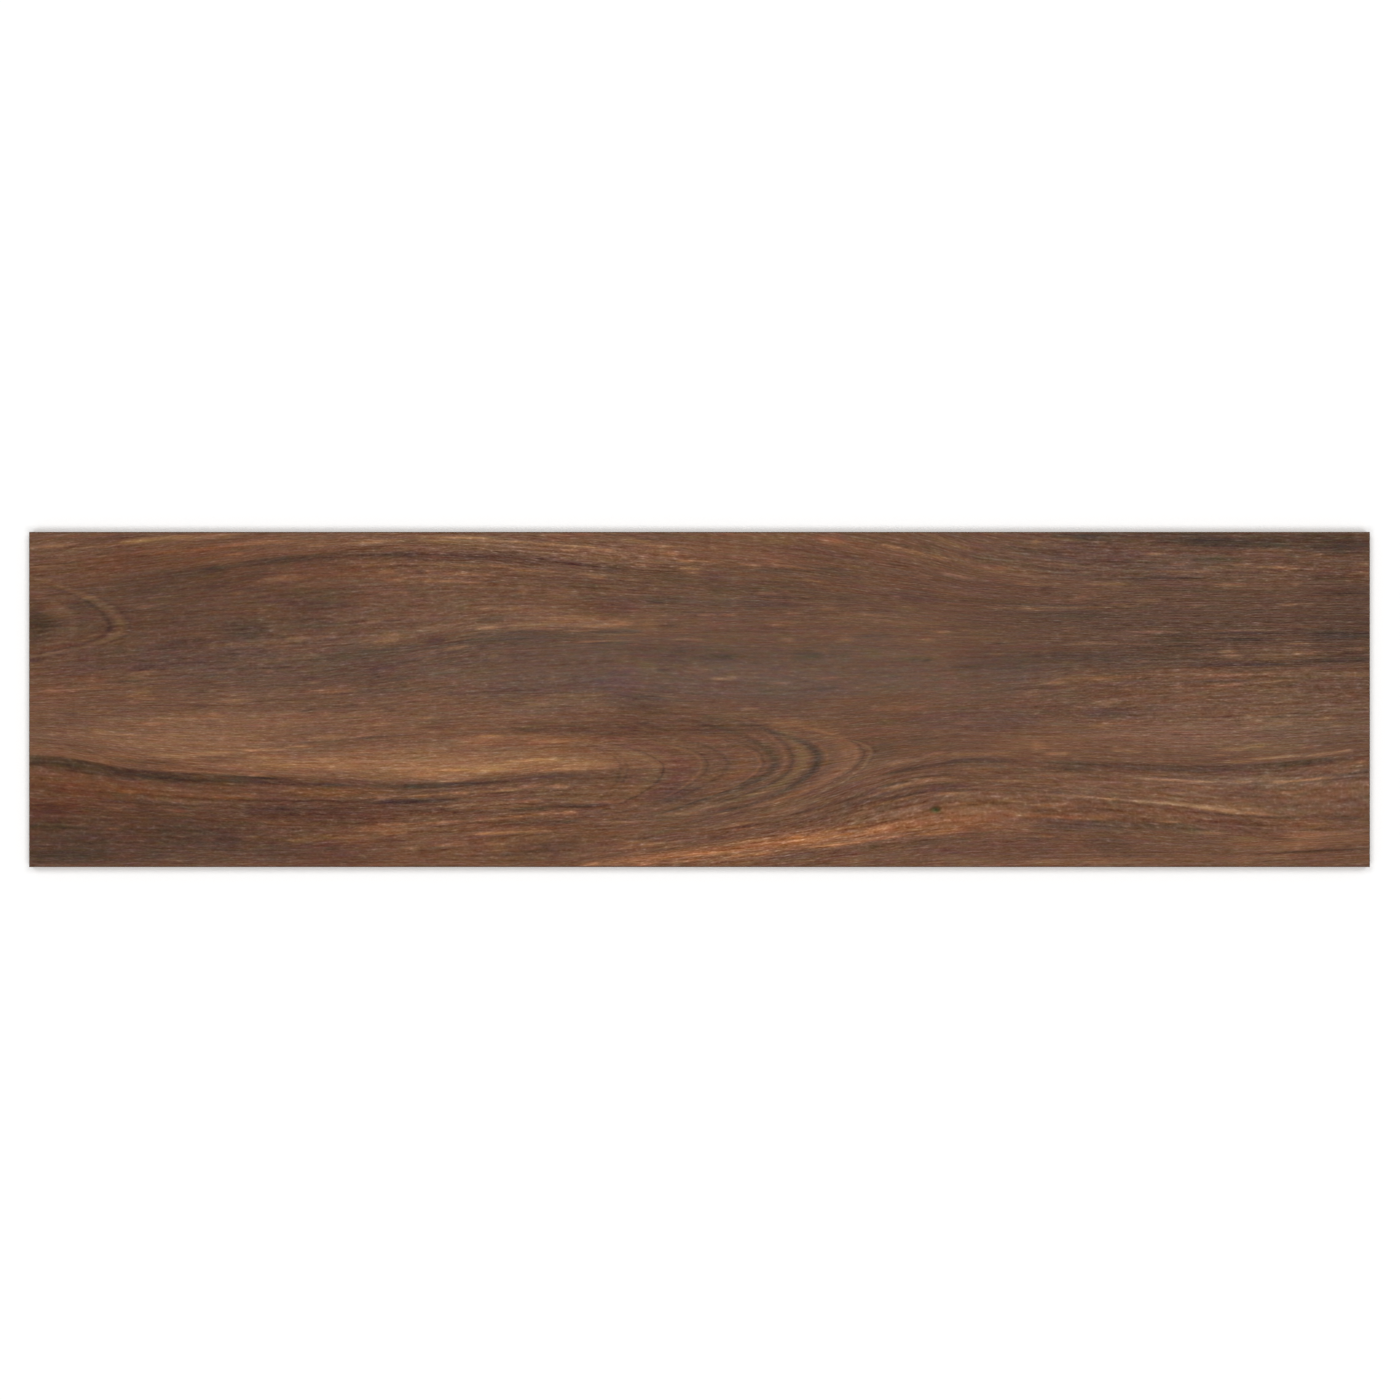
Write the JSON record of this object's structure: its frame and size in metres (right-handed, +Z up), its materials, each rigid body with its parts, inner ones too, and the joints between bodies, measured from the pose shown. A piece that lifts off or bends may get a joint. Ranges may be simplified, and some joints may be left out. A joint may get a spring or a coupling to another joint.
{
  "type": "wood look porcelain plank tile",
  "caption": "Long rectangular porcelain floor tile with a printed dark walnut grain face, bevelled ground edges and a keyed back.",
  "frame": {"origin": "centre of the back, on the plane the tile is bedded on", "axes": "+X along the plank with its grain, +Y across the plank, +Z up through the tile to the glazed face"},
  "size_m": [0.8, 0.2, 0.0095],
  "materials": {
    "glazed_porcelain": "matte"
  },
  "bodies": {
    "root": {"plank_tile": "glazed_porcelain"}
  },
  "joints": []
}
